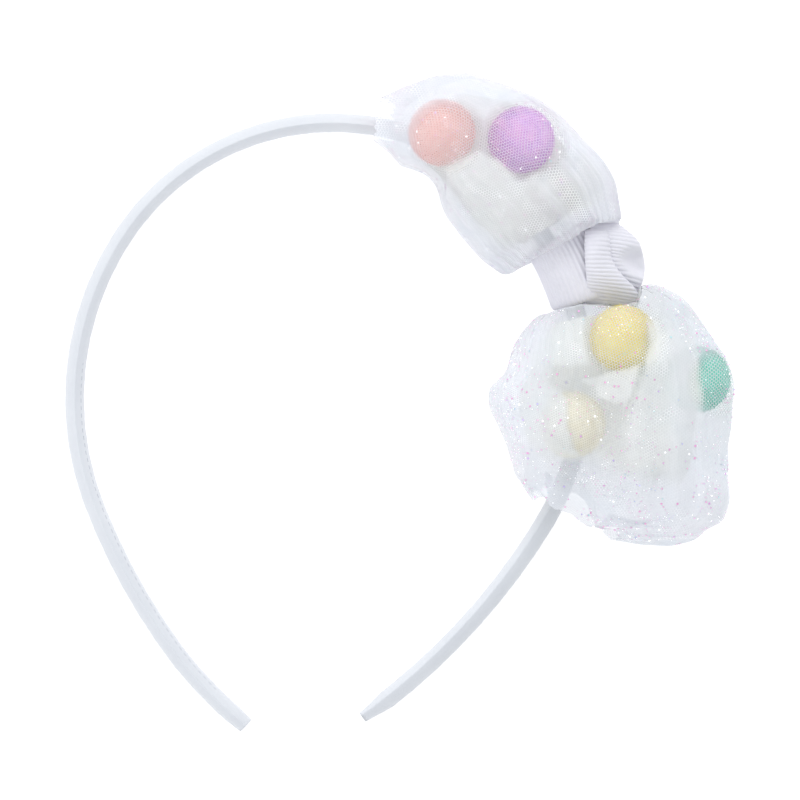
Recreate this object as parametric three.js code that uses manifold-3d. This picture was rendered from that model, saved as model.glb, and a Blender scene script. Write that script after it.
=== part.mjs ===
// A child's bow headband, lying on its side: a satin-wrapped horseshoe band, and on its outer side a
// tulle bow that holds five pompoms, tied at the waist with a grosgrain ribbon.
//
// Millimetres, +Z up. The band's loop lies almost flat: +Y runs from the tips to the crown, +X to the
// side with the bow. The origin is at the middle of the footprint, on the surface it lies on.

import * as THREE from 'three';
import { mergeVertices } from 'three/addons/utils/BufferGeometryUtils.js';
import Module from 'manifold-3d';

const wasm = await Module();
wasm.setup();

// The band: its section, and the radius of the crown that both arms start from.
const BAND_WIDTH = 7;
const BAND_THICKNESS = 4.3;
const CROWN_RADIUS = 57.2;
const BAND_STEP = 4;
const TIP_TAPER = 7;
const RIGHT_TIP_SIZE = 0.55;
const LEFT_TIP_SIZE = 0.85;

// The bow: where it is tied, its tulle, and how far each lobe reaches.
const KNOT_ANGLE = 62;
const FIT_GAP = 0.3;
const BAND_GAP = 0.5;
const TULLE_WALL = 1.2;
const NECK_REACH = 9.5;
const NECK_HEIGHT = 12.4;
const RIBBON_WIDTH = 15;
const RIBBON_WALL = 1;
const UPPER_LENGTH = 57;
const UPPER_REACH = 21;
const UPPER_HEIGHT = 31.5;
const LOWER_LENGTH = 56;
const LOWER_REACH = 37;
const LOWER_HEIGHT = 31.5;
const INNER_TULLE_GAP = 0.3;
const POMPOM_RADIUS = 7.75;
const POMPOM_GAP = 0.8;
const RING_POINTS = 36;
const PLEATS = 9;
const PLEAT_DRIFT = 1.5;

// A section of soft tulle: how high its widest place is, how far it sags below its flat underside,
// and how round it is over and under that place, from 1 for an ellipse down to square.
const WIDEST_SHARE = 0.36;
const SAG_SHARE = 1.12;
const ROOF_ROUNDNESS = 0.87;
const UNDERSIDE_ROUNDNESS = 0.6;

// The ribbon's knot: the strip over its front, the core under it and the curl beside it. The strip
// widens and slides towards the band as it runs down.
const STRIP_WIDTH = 10;
const STRIP_FLARE = 0.32;
const STRIP_SLIDE = 0.22;
const STRIP_THICKNESS = 2;
const STRIP_LENGTH = 14;
const STRIP_LEAN = 22;
const KNOT_DROP = 1;
const CORE_DEPTH = 6.4;
const CORE_HEIGHT = 11;
const CURL_HEIGHT = 8.5;
const CURL_THICKNESS = 1.6;
const BAR_POINTS = 12;
const BAR_ROUNDNESS = 0.6;

// The core's and the strip's stations along the knot, as shares of STRIP_LENGTH from its middle. The
// core's size is a share of its own, and the strip's height a share of CORE_HEIGHT.
const CORE_STATIONS = [
  { along: -0.46, size: 0.65 },
  { along: -0.3, size: 0.84 },
  { along: 0, size: 1 },
  { along: 0.3, size: 0.84 },
  { along: 0.44, size: 0.65 },
];
const STRIP_STATIONS = [
  { along: -0.5, height: 0.47 },
  { along: -0.4, height: 0.58 },
  { along: -0.22, height: 0.66 },
  { along: 0, height: 0.7 },
  { along: 0.22, height: 0.69 },
  { along: 0.4, height: 0.66 },
  { along: 0.5, height: 0.64 },
];

// The curl's stations along the knot, as shares of STRIP_LENGTH, and how far it bows out past the
// core's middle, as shares of CORE_DEPTH.
const CURL_STATIONS = [
  { along: -0.44, bow: 0.06 },
  { along: -0.26, bow: 0.38 },
  { along: -0.06, bow: 0.54 },
  { along: 0.12, bow: 0.54 },
  { along: 0.3, bow: 0.38 },
  { along: 0.46, bow: 0.06 },
];

// Each arm of the band is a run of tangent arcs from the crown down: radius as a share of
// CROWN_RADIUS, and the angle in degrees from the crown at which the arc ends.
const RIGHT_ARM = [
  { radius: 1, until: 70 },
  { radius: 1.106, until: 117.2 },
  { radius: 2.65, until: 139.9 },
];
const LEFT_ARM = [
  { radius: 1, until: 61.6 },
  { radius: 1.18, until: 116 },
  { radius: 2.54, until: 140.2 },
];

// The band's section, a rounded lens with a ridge along each face: out in shares of BAND_THICKNESS
// from the middle, up in shares of BAND_WIDTH.
const BAND_SECTION = [
  { out: -0.05, up: 0.5 },
  { out: 0.34, up: 0.36 },
  { out: 0.5, up: 0.14 },
  { out: 0.5, up: -0.14 },
  { out: 0.34, up: -0.36 },
  { out: -0.05, up: -0.5 },
  { out: -0.38, up: -0.36 },
  { out: -0.5, up: -0.14 },
  { out: -0.5, up: 0.14 },
  { out: -0.38, up: 0.36 },
];

// The lobes' sections from the waist to the mouth. along is a share of the lobe's length from the
// knot; inner and outer are shares of its reach, to the inside and the outside of the band; height
// is a share of its height, and ruffle a share of the section's own size.
const UPPER_SECTIONS = [
  { along: 0.16, inner: 0.58, outer: 0.93, height: 0.7, ruffle: 0.05 },
  { along: 0.21, inner: 0.68, outer: 0.99, height: 0.82, ruffle: 0.055 },
  { along: 0.32, inner: 0.72, outer: 1, height: 0.92, ruffle: 0.055 },
  { along: 0.46, inner: 0.69, outer: 1.01, height: 0.98, ruffle: 0.05 },
  { along: 0.57, inner: 0.59, outer: 0.97, height: 1, ruffle: 0.05 },
  { along: 0.66, inner: 0.47, outer: 0.91, height: 1, ruffle: 0.05 },
  { along: 0.76, inner: 0.43, outer: 0.83, height: 0.99, ruffle: 0.05 },
  { along: 0.86, inner: 0.4, outer: 0.66, height: 0.88, ruffle: 0.05 },
  { along: 0.94, inner: 0.33, outer: 0.48, height: 0.66, ruffle: 0.09 },
  { along: 1, inner: 0.29, outer: 0.42, height: 0.58, ruffle: 0.14 },
];
const LOWER_SECTIONS = [
  { along: 0.16, inner: 0.24, outer: 0.5, height: 0.74, ruffle: 0.05 },
  { along: 0.21, inner: 0.37, outer: 0.66, height: 0.9, ruffle: 0.055 },
  { along: 0.3, inner: 0.44, outer: 0.8, height: 0.98, ruffle: 0.055 },
  { along: 0.41, inner: 0.5, outer: 0.94, height: 1, ruffle: 0.05 },
  { along: 0.52, inner: 0.6, outer: 0.96, height: 1, ruffle: 0.05 },
  { along: 0.62, inner: 0.56, outer: 0.95, height: 1, ruffle: 0.05 },
  { along: 0.71, inner: 0.5, outer: 0.98, height: 0.97, ruffle: 0.055 },
  { along: 0.8, inner: 0.43, outer: 0.98, height: 0.86, ruffle: 0.07 },
  { along: 0.9, inner: 0.35, outer: 0.84, height: 0.66, ruffle: 0.09 },
  { along: 1, inner: 0.27, outer: 0.66, height: 0.5, ruffle: 0.12 },
];

// The milky tulle inside each lobe, as shares of the same lobe's length, reach and height.
const UPPER_INNER_SECTIONS = [
  { along: 0.19, inner: 0.22, outer: 0.42, height: 0.43, ruffle: 0.02 },
  { along: 0.26, inner: 0.36, outer: 0.66, height: 0.44, ruffle: 0.03 },
  { along: 0.33, inner: 0.42, outer: 0.76, height: 0.44, ruffle: 0.03 },
  { along: 0.4, inner: 0.45, outer: 0.8, height: 0.44, ruffle: 0.03 },
  { along: 0.47, inner: 0.44, outer: 0.81, height: 0.44, ruffle: 0.03 },
  { along: 0.54, inner: 0.4, outer: 0.8, height: 0.44, ruffle: 0.03 },
  { along: 0.62, inner: 0.31, outer: 0.74, height: 0.44, ruffle: 0.03 },
  { along: 0.7, inner: 0.26, outer: 0.66, height: 0.43, ruffle: 0.04 },
  { along: 0.78, inner: 0.23, outer: 0.56, height: 0.43, ruffle: 0.05 },
];
const LOWER_INNER_SECTIONS = [
  { along: 0.19, inner: 0.13, outer: 0.24, height: 0.43, ruffle: 0.02 },
  { along: 0.26, inner: 0.22, outer: 0.34, height: 0.44, ruffle: 0.03 },
  { along: 0.33, inner: 0.28, outer: 0.41, height: 0.44, ruffle: 0.03 },
  { along: 0.4, inner: 0.34, outer: 0.47, height: 0.44, ruffle: 0.03 },
  { along: 0.47, inner: 0.4, outer: 0.5, height: 0.44, ruffle: 0.03 },
  { along: 0.54, inner: 0.4, outer: 0.56, height: 0.44, ruffle: 0.03 },
  { along: 0.62, inner: 0.38, outer: 0.66, height: 0.44, ruffle: 0.03 },
  { along: 0.7, inner: 0.34, outer: 0.7, height: 0.43, ruffle: 0.04 },
  { along: 0.78, inner: 0.28, outer: 0.66, height: 0.42, ruffle: 0.05 },
];

// The pompoms: along as a share of the lobe's length, out as a share of its reach.
const POMPOMS = [
  { name: 'pompom_peach', lobe: 'upper', along: 0.74, out: 0.14, color: '#fbd3c4' },
  { name: 'pompom_lilac', lobe: 'upper', along: 0.47, out: 0.5, color: '#eec0f2' },
  { name: 'pompom_yellow', lobe: 'lower', along: 0.31, out: 0.25, color: '#fbefa3' },
  { name: 'pompom_cream', lobe: 'lower', along: 0.63, out: -0.05, color: '#fbf5df' },
  { name: 'pompom_mint', lobe: 'lower', along: 0.44, out: 0.66, color: '#a4ecd2' },
];

const radians = THREE.MathUtils.degToRad;
const waistHeight = NECK_HEIGHT / 2 + FIT_GAP + RIBBON_WALL;

// The point on an arm at a distance from the crown, and its direction away from the loop.
function pointOnArm(arm, side, distance) {
  const centre = new THREE.Vector2();
  let from = 0;
  let travelled = 0;
  let last = arm[0].radius * CROWN_RADIUS;
  for (const arc of arm) {
    const radius = arc.radius * CROWN_RADIUS;
    centre.x += (last - radius) * Math.sin(from);
    centre.y += (last - radius) * Math.cos(from);
    const until = radians(arc.until);
    const length = radius * (until - from);
    if (distance <= travelled + length || arc === arm[arm.length - 1]) {
      const angle = from + (distance - travelled) / radius;
      const out = new THREE.Vector2(side * Math.sin(angle), Math.cos(angle));
      const point = new THREE.Vector2(side * centre.x, centre.y).addScaledVector(out, radius);
      return { point, out };
    }
    travelled += length;
    from = until;
    last = radius;
  }
}

function armLength(arm) {
  let from = 0;
  let length = 0;
  for (const arc of arm) {
    length += arc.radius * CROWN_RADIUS * (radians(arc.until) - from);
    from = radians(arc.until);
  }
  return length;
}

const rightLength = armLength(RIGHT_ARM);
const leftLength = armLength(LEFT_ARM);
const knotDistance = radians(KNOT_ANGLE) * CROWN_RADIUS;

// The band's middle line, by distance from the crown: positive down the right arm.
function bandPoint(distance) {
  if (distance >= 0) return pointOnArm(RIGHT_ARM, 1, distance);
  return pointOnArm(LEFT_ARM, -1, -distance);
}

// The loop leans a little: one arm lies on the surface, and the tied waist lifts the other.
const uphill = bandPoint(knotDistance).out;
const knotRise = bandPoint(knotDistance).point.dot(uphill);
let lowestRise = knotRise;
for (let distance = -leftLength; distance < 0; distance += BAND_STEP / 2) {
  lowestRise = Math.min(lowestRise, bandPoint(distance).point.dot(uphill));
}
const slope = (waistHeight - BAND_WIDTH / 2) / (knotRise - lowestRise);

function bandHeight(point) {
  return BAND_WIDTH / 2 + slope * (point.dot(uphill) - lowestRise);
}

// A place given along the band, out from it, and up from its middle plane or from the surface.
function nearBand(distance, out, up) {
  const frame = bandPoint(distance);
  const place = frame.point.clone().addScaledVector(frame.out, out);
  return new THREE.Vector3(place.x, place.y, bandHeight(place) + up);
}

function overSurface(distance, out, height) {
  const frame = bandPoint(distance);
  const place = frame.point.clone().addScaledVector(frame.out, out);
  return new THREE.Vector3(place.x, place.y, height);
}

// A body through a run of rings of equal point counts. Its ends are capped, or the last ring joins
// the first. The triangles are turned if the body comes out inside out.
function loft(rings, capped) {
  const count = rings[0].length;
  const points = rings.flat();
  const faces = [];
  const spans = capped ? rings.length - 1 : rings.length;
  for (let row = 0; row < spans; row += 1) {
    const next = (row + 1) % rings.length;
    for (let i = 0; i < count; i += 1) {
      const j = (i + 1) % count;
      faces.push([row * count + i, row * count + j, next * count + j]);
      faces.push([row * count + i, next * count + j, next * count + i]);
    }
  }
  if (capped) {
    for (const row of [0, rings.length - 1]) {
      const middle = new THREE.Vector3();
      rings[row].forEach((point) => middle.addScaledVector(point, 1 / count));
      points.push(middle);
      for (let i = 0; i < count; i += 1) {
        const edge = [row * count + i, row * count + ((i + 1) % count)];
        if (row === 0) edge.reverse();
        faces.push([...edge, points.length - 1]);
      }
    }
  }
  let volume = 0;
  for (const [a, b, c] of faces) {
    volume += points[a].dot(points[b].clone().cross(points[c]));
  }
  if (volume < 0) faces.forEach((face) => face.reverse());
  const geometry = new THREE.BufferGeometry().setFromPoints(points);
  geometry.setIndex(faces.flat());
  return geometry;
}

function toManifold(geometry) {
  const bare = geometry.clone();
  bare.deleteAttribute('normal');
  bare.deleteAttribute('uv');
  const merged = mergeVertices(bare);
  const vertProperties = new Float32Array(merged.attributes.position.array);
  const triVerts = new Uint32Array(merged.index.array);
  return new wasm.Manifold(new wasm.Mesh({ numProp: 3, vertProperties, triVerts }));
}

function joined(geometries) {
  let body = toManifold(geometries[0]);
  for (const geometry of geometries.slice(1)) body = body.add(toManifold(geometry));
  const mesh = body.getMesh();
  const geometry = new THREE.BufferGeometry();
  geometry.setAttribute('position', new THREE.BufferAttribute(mesh.vertProperties, 3));
  geometry.setIndex(new THREE.BufferAttribute(mesh.triVerts, 1));
  return geometry;
}

// The band: its section carried along both arms, full to the left tip and tapered at the right one.
function headband() {
  const rings = [];
  const steps = Math.ceil((leftLength + rightLength) / BAND_STEP);
  for (let step = 0; step <= steps; step += 1) {
    const distance = -leftLength + ((leftLength + rightLength) * step) / steps;
    const toRightTip = Math.min(1, (rightLength - distance) / TIP_TAPER);
    const toLeftTip = Math.min(1, (leftLength + distance) / (TIP_TAPER / 2));
    const size = Math.min(
      RIGHT_TIP_SIZE + (1 - RIGHT_TIP_SIZE) * toRightTip,
      LEFT_TIP_SIZE + (1 - LEFT_TIP_SIZE) * toLeftTip,
    );
    rings.push(
      BAND_SECTION.map(({ out, up }) =>
        nearBand(distance, out * BAND_THICKNESS * size, up * BAND_WIDTH * size),
      ),
    );
  }
  return loft(rings, true);
}

// One section of soft tulle, between two reaches and two heights: an arch over a flat underside.
function tulleRing(distance, inner, outer, bottom, top, ruffle, drift) {
  const middle = (outer - inner) / 2;
  const half = (outer + inner) / 2;
  const waist = bottom + WIDEST_SHARE * (top - bottom);
  const ring = [];
  for (let i = 0; i < RING_POINTS; i += 1) {
    const angle = (2 * Math.PI * i) / RING_POINTS;
    const across = Math.cos(angle);
    const up = Math.sin(angle);
    const round = up >= 0 ? ROOF_ROUNDNESS : UNDERSIDE_ROUNDNESS;
    const fold = 1 + ruffle * Math.cos(PLEATS * angle + drift);
    const out = middle + half * fold * Math.sign(across) * Math.abs(across) ** round;
    const rise = up >= 0 ? (top - waist) * fold : (waist - bottom) * SAG_SHARE;
    const height = waist + rise * Math.sign(up) * Math.abs(up) ** round;
    ring.push(overSurface(distance, out, Math.max(height, bottom)));
  }
  return ring;
}

// The hole that the band runs through, clear of it all round.
function bandHoleRing(distance) {
  const ring = [];
  for (let i = 0; i < RING_POINTS; i += 1) {
    const angle = (2 * Math.PI * i) / RING_POINTS;
    const out = (BAND_THICKNESS / 2 + BAND_GAP) * Math.cos(angle);
    const up = (BAND_WIDTH / 2 + BAND_GAP) * Math.sin(angle);
    ring.push(nearBand(distance, out, up));
  }
  return ring;
}

// A lobe's sections in millimetres, with the walls drawn in by a skin: 0 gives the outside.
function lobeRings(lobe, sections, skin, lift) {
  return sections.map((row, index) => {
    const nearNeck = Math.max(0, 1 - index / 2);
    const mouth = index === sections.length - 1;
    const along = row.along * lobe.length + (mouth ? 0 : skin * nearNeck);
    return tulleRing(
      knotDistance + lobe.turn * along,
      row.inner * lobe.reach - skin,
      row.outer * lobe.reach - skin,
      lift + skin,
      row.height * lobe.height - skin,
      row.ruffle,
      row.along * PLEAT_DRIFT,
    );
  });
}

// The waist of a lobe, gathered round the band inside the ribbon.
function neckRing(lobe, along) {
  const inner = BAND_THICKNESS / 2 + BAND_GAP + TULLE_WALL;
  const low = waistHeight - NECK_HEIGHT / 2;
  return tulleRing(knotDistance + lobe.turn * along, inner, NECK_REACH, low, low + NECK_HEIGHT, 0, 0);
}

// The outer tulle: a thin shell round the band, open at its mouth and gathered at its waist.
function outerTulle(lobe) {
  const outside = lobeRings(lobe, lobe.sections, 0, 0);
  const inside = lobeRings(lobe, lobe.sections, TULLE_WALL, 0);
  const neckEnd = RIBBON_WIDTH / 2 + 2 * FIT_GAP;
  const steps = [FIT_GAP, neckEnd / 2, neckEnd];
  const neck = steps.map((along) => neckRing(lobe, along));
  const hole = steps.map((along) => bandHoleRing(knotDistance + lobe.turn * along));
  return loft([...neck, ...outside, ...inside.reverse(), ...hole.reverse()], false);
}

// The milky tulle: a lower shell inside the first, round the band, pressed down by the pompoms.
function innerTulle(lobe, balls) {
  const lift = TULLE_WALL + INNER_TULLE_GAP;
  const walls = [0, TULLE_WALL].map((skin) => {
    const rings = lobeRings(lobe, lobe.innerSections, skin, lift);
    const lowest = lift + TULLE_WALL + INNER_TULLE_GAP + (TULLE_WALL - skin);
    for (const point of rings.flatMap((ring) => ring.slice(0, RING_POINTS / 2 + 1))) {
      const pressed = undersideHeight(balls, point) - skin;
      if (pressed < point.z) point.z = Math.max(pressed, Math.min(point.z, lowest));
    }
    return rings;
  });
  const neck = knotDistance + lobe.turn * lobe.innerSections[0].along * lobe.length;
  return loft([...walls[0], ...walls[1].reverse(), bandHoleRing(neck)], false);
}

const LOBES = {
  upper: {
    turn: -1,
    length: UPPER_LENGTH,
    reach: UPPER_REACH,
    height: UPPER_HEIGHT,
    sections: UPPER_SECTIONS,
    innerSections: UPPER_INNER_SECTIONS,
  },
  lower: {
    turn: 1,
    length: LOWER_LENGTH,
    reach: LOWER_REACH,
    height: LOWER_HEIGHT,
    sections: LOWER_SECTIONS,
    innerSections: LOWER_INNER_SECTIONS,
  },
};

// The height at which a pompom touches the tulle above it.
function pompomHeight(lobe, x, y) {
  const reach = POMPOM_RADIUS + POMPOM_GAP;
  const roof = lobeRings(lobe, lobe.sections, TULLE_WALL, 0).flatMap((ring) =>
    ring.slice(0, RING_POINTS / 2 + 1),
  );
  let height = Infinity;
  for (const point of roof) {
    const aside = Math.hypot(point.x - x, point.y - y);
    if (aside < reach) height = Math.min(height, point.z - Math.sqrt(reach ** 2 - aside ** 2));
  }
  return height;
}

// The height of the pompoms' undersides over a point, or none where no pompom is over it.
function undersideHeight(balls, point) {
  const reach = POMPOM_RADIUS + POMPOM_GAP;
  let height = Infinity;
  for (const ball of balls) {
    const aside = Math.hypot(point.x - ball.x, point.y - ball.y);
    if (aside < reach) height = Math.min(height, ball.z - Math.sqrt(reach ** 2 - aside ** 2));
  }
  return height;
}

// A pompom: a ball of short tufts, one on each facet.
function pompom() {
  const ball = new THREE.IcosahedronGeometry(POMPOM_RADIUS * 0.96, 1);
  const corners = ball.attributes.position;
  const points = [];
  for (let i = 0; i < corners.count; i += 3) {
    const facet = [0, 1, 2].map((k) => new THREE.Vector3().fromBufferAttribute(corners, i + k));
    const tip = new THREE.Vector3();
    facet.forEach((corner) => tip.add(corner));
    tip.setLength(POMPOM_RADIUS);
    for (let k = 0; k < 3; k += 1) points.push(facet[k], facet[(k + 1) % 3], tip);
  }
  return mergeVertices(new THREE.BufferGeometry().setFromPoints(points));
}

// A closed outline round a set of flat points, at a distance from them: one corner between each two
// of its sides.
function outlineRound(points, offset) {
  const sides = [];
  for (let i = 0; i < RING_POINTS; i += 1) {
    const angle = (2 * Math.PI * i) / RING_POINTS;
    const facing = new THREE.Vector2(Math.cos(angle), Math.sin(angle));
    const away = Math.max(...points.map((point) => point.dot(facing))) + offset;
    sides.push({ facing, away });
  }
  return sides.map((side, i) => {
    const next = sides[(i + 1) % RING_POINTS];
    const cross = side.facing.cross(next.facing);
    return new THREE.Vector2(
      (side.away * next.facing.y - next.away * side.facing.y) / cross,
      (next.away * side.facing.x - side.away * next.facing.x) / cross,
    );
  });
}

// The gathered waist's own outline, out from the band and up from its middle.
function waistOutline() {
  const frame = bandPoint(knotDistance);
  return neckRing(LOBES.upper, 0).map((point) => {
    const out = new THREE.Vector2(point.x, point.y).sub(frame.point).dot(frame.out);
    return new THREE.Vector2(out, point.z - waistHeight);
  });
}

// The ribbon round the waist, laid over the gathered tulle.
function ribbonWrap() {
  const outlines = [
    outlineRound(waistOutline(), FIT_GAP + RIBBON_WALL),
    outlineRound(waistOutline(), FIT_GAP),
  ];
  const stations = [-0.5, -0.25, 0, 0.25, 0.5].map((share) => share * RIBBON_WIDTH);
  const rings = outlines.map((outline) =>
    stations.map((along) =>
      outline.map((corner) => {
        const height = Math.max(waistHeight + corner.y, 0);
        return overSurface(knotDistance + along, corner.x, height);
      }),
    ),
  );
  return loft([...rings[0], ...rings[1].reverse()], false);
}

// A rounded bar's section: a box with its corners cut by a superellipse, turned by a lean.
function barRing(centre, width, thickness, lean, along) {
  const ring = [];
  for (let i = 0; i < BAR_POINTS; i += 1) {
    const angle = (2 * Math.PI * i) / BAR_POINTS;
    const across = Math.sign(Math.cos(angle)) * Math.abs(Math.cos(angle)) ** BAR_ROUNDNESS;
    const up = Math.sign(Math.sin(angle)) * Math.abs(Math.sin(angle)) ** BAR_ROUNDNESS;
    const corner = new THREE.Vector2((across * width) / 2, (up * thickness) / 2);
    corner.rotateAround(new THREE.Vector2(), lean).add(centre);
    ring.push(nearBand(knotDistance + KNOT_DROP + along, corner.x, corner.y));
  }
  return ring;
}

// The knot: a core outside the wrap, a strip arched over its front, and a curl round its outside.
function ribbonKnot() {
  const wrapReach = NECK_REACH + FIT_GAP + RIBBON_WALL;
  const coreMiddle = wrapReach + FIT_GAP + CORE_DEPTH / 2;
  const core = CORE_STATIONS.map(({ along, size }) => {
    const centre = new THREE.Vector2(coreMiddle, 0);
    return barRing(centre, CORE_DEPTH * size, CORE_HEIGHT * size, 0, along * STRIP_LENGTH);
  });
  const strip = STRIP_STATIONS.map(({ along, height }) => {
    const out = wrapReach - STRIP_WIDTH * STRIP_SLIDE * along;
    const centre = new THREE.Vector2(out, CORE_HEIGHT * height);
    const width = STRIP_WIDTH * (1 + STRIP_FLARE * along);
    return barRing(centre, width, STRIP_THICKNESS, -radians(STRIP_LEAN), along * STRIP_LENGTH);
  });
  const curl = CURL_STATIONS.map(({ along, bow }) => {
    const centre = new THREE.Vector2(coreMiddle + CORE_DEPTH * bow, CURL_HEIGHT * 0.2);
    return barRing(centre, CURL_THICKNESS * 2, CURL_HEIGHT, 0, along * STRIP_LENGTH);
  });
  return joined([loft(core, true), loft(strip, true), loft(curl, true)]);
}

const satin = new THREE.MeshStandardMaterial({ color: '#f4f5f8', roughness: 0.38, metalness: 0 });
const grosgrain = new THREE.MeshStandardMaterial({ color: '#f1f1f5', roughness: 0.75, metalness: 0 });
const glitterTulle = new THREE.MeshStandardMaterial({ color: '#eaf0fa', roughness: 0.5, metalness: 0 });
const milkyTulle = new THREE.MeshStandardMaterial({ color: '#f6f8f3', roughness: 0.8, metalness: 0 });

const headbandGroup = new THREE.Group();

function addPiece(name, geometry, material) {
  const mesh = new THREE.Mesh(geometry, material);
  mesh.name = name;
  headbandGroup.add(mesh);
  return mesh;
}

addPiece('headband', headband(), satin);
addPiece('ribbon_wrap', ribbonWrap(), grosgrain);
addPiece('ribbon_knot', ribbonKnot(), grosgrain);
for (const [name, lobe] of Object.entries(LOBES)) {
  const balls = [];
  for (const ball of POMPOMS.filter((entry) => entry.lobe === name)) {
    const along = knotDistance + lobe.turn * ball.along * lobe.length;
    const place = overSurface(along, ball.out * lobe.reach, 0);
    place.z = pompomHeight(lobe, place.x, place.y);
    balls.push(place);
    const felt = new THREE.MeshStandardMaterial({ color: ball.color, roughness: 0.95, metalness: 0 });
    addPiece(ball.name, pompom(), felt).position.copy(place);
  }
  addPiece(`tulle_lobe_${name}`, outerTulle(lobe), glitterTulle);
  addPiece(`inner_tulle_${name}`, innerTulle(lobe, balls), milkyTulle);
}

// The origin: the middle of the footprint.
const footprint = new THREE.Box3().setFromObject(headbandGroup, true);
const middle = footprint.getCenter(new THREE.Vector3());
headbandGroup.position.set(-middle.x, -middle.y, -footprint.min.z);

export default headbandGroup;
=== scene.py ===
"""A child's bow headband lying on its side: satin band, ribbon knot, glitter tulle and five pompoms.

Sizes are in millimetres until a mesh is made. Places are given along the band from its crown, out
from its middle line, and up from the surface.
"""

import math

import bpy
import numpy as np
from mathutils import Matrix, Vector, noise
from mathutils.bvhtree import BVHTree


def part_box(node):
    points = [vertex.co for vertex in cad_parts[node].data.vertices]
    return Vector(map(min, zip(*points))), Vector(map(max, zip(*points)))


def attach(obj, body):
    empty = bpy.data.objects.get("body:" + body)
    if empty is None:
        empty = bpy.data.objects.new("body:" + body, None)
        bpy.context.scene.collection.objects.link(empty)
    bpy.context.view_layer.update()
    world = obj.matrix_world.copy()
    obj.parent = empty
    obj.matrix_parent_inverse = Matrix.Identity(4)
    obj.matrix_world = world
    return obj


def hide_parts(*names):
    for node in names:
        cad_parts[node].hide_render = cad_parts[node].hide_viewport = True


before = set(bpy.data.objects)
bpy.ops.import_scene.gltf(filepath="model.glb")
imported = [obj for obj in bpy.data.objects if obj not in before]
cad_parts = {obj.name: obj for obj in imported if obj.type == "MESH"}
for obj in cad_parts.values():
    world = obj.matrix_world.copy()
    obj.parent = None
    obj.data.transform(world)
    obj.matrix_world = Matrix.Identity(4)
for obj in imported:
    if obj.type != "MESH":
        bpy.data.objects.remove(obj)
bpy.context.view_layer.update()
noise.seed_set(4)

MM = 0.001

# The band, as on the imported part: each arm's arcs are a share of the crown's radius and the angle
# from the crown at which the arc ends.
CROWN_RADIUS = 57.2
BAND_WIDTH = 7.0
BAND_THICKNESS = 4.3
RIGHT_ARM = ((1, 70), (1.106, 117.2), (2.65, 139.9))
LEFT_ARM = ((1, 61.6), (1.18, 116), (2.54, 140.2))

# The bow: the knot's place, the gathered waist, the ribbon and the two lobes.
KNOT_DISTANCE = math.radians(62) * CROWN_RADIUS
NECK_INNER = 3.85
NECK_REACH = 9.5
NECK_HEIGHT = 12.4
WAIST_HEIGHT = 7.5
RIBBON_WIDTH = 15.0
POMPOM_RADIUS = 7.7

# Each lobe's sections in mm, from the middle of the waist to the mouth: the distance from the knot,
# the reach to the inside and the outside of the band, the bottom and the top, and how deep the
# folds are. Past the waist the tulle puffs back over the ribbon's edge.
LOBES = {
    "upper": {
        "turn": -1,
        "sections": (
            (0.3, 3.8, 9.3, 1.4, 13.6, 0.0),
            (7.6, 3.8, 9.3, 1.4, 13.6, 0.0),
            (8.0, 5.6, 11.8, 0.6, 15.6, 0.3),
            (6.8, 7.8, 14.0, 0.1, 17.4, 0.5),
            (6.0, 9.8, 16.2, 0.1, 19.2, 0.7),
            (6.8, 11.6, 18.2, 0.1, 21.4, 0.9),
            (9.6, 13.0, 19.8, 0.1, 24.0, 1.0),
            (13.0, 14.2, 20.8, 0.1, 26.4, 1.1),
            (18.5, 14.7, 21.0, 0.1, 28.8, 1.0),
            (26.0, 14.1, 20.9, 0.1, 30.4, 1.0),
            (32.5, 12.4, 20.0, 0.1, 31.0, 1.0),
            (37.5, 8.8, 18.5, 0.1, 31.0, 1.0),
            (43.0, 7.3, 17.1, 0.1, 30.4, 1.0),
            (48.5, 7.3, 13.0, 0.1, 27.6, 1.0),
            (52.5, 5.6, 9.4, 0.1, 22.0, 1.0),
            (56.4, 3.6, 6.6, 1.0, 17.0, 1.2),
        ),
    },
    "lower": {
        "turn": 1,
        "sections": (
            (0.3, 3.8, 9.3, 1.4, 13.6, 0.0),
            (7.6, 3.8, 9.3, 1.4, 13.6, 0.0),
            (8.0, 5.2, 12.2, 0.6, 15.6, 0.3),
            (7.6, 7.6, 16.2, 0.1, 18.6, 0.7),
            (9.2, 11.0, 20.8, 0.1, 23.2, 1.1),
            (12.5, 14.0, 24.8, 0.1, 27.0, 1.2),
            (17.0, 16.2, 28.0, 0.1, 29.6, 1.2),
            (22.0, 18.0, 31.4, 0.1, 30.8, 1.1),
            (28.0, 21.4, 33.2, 0.1, 31.0, 1.1),
            (33.0, 21.0, 32.8, 0.1, 31.0, 1.1),
            (38.0, 18.9, 34.0, 0.1, 30.2, 1.0),
            (42.0, 16.8, 36.0, 0.1, 28.6, 1.0),
            (44.8, 15.4, 36.4, 0.1, 26.6, 0.9),
            (47.6, 14.0, 33.4, 0.1, 24.0, 0.8),
            (50.0, 12.6, 31.4, 0.1, 21.0, 0.7),
            (52.6, 11.0, 24.4, 0.1, 18.0, 0.7),
            (55.0, 6.8, 16.0, 0.1, 14.6, 0.8),
        ),
    },
}


def arm_point(arm, side, distance):
    """The point on an arm at a distance from the crown, and its direction away from the loop."""
    centre = np.zeros(2)
    start = 0.0
    travelled = 0.0
    last = arm[0][0] * CROWN_RADIUS
    for index, (share, until) in enumerate(arm):
        radius = share * CROWN_RADIUS
        centre += (last - radius) * np.array([math.sin(start), math.cos(start)])
        length = radius * (math.radians(until) - start)
        if distance <= travelled + length or index == len(arm) - 1:
            angle = start + (distance - travelled) / radius
            out = np.array([side * math.sin(angle), math.cos(angle)])
            return np.array([side * centre[0], centre[1]]) + radius * out, out
        travelled += length
        start = math.radians(until)
        last = radius


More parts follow.
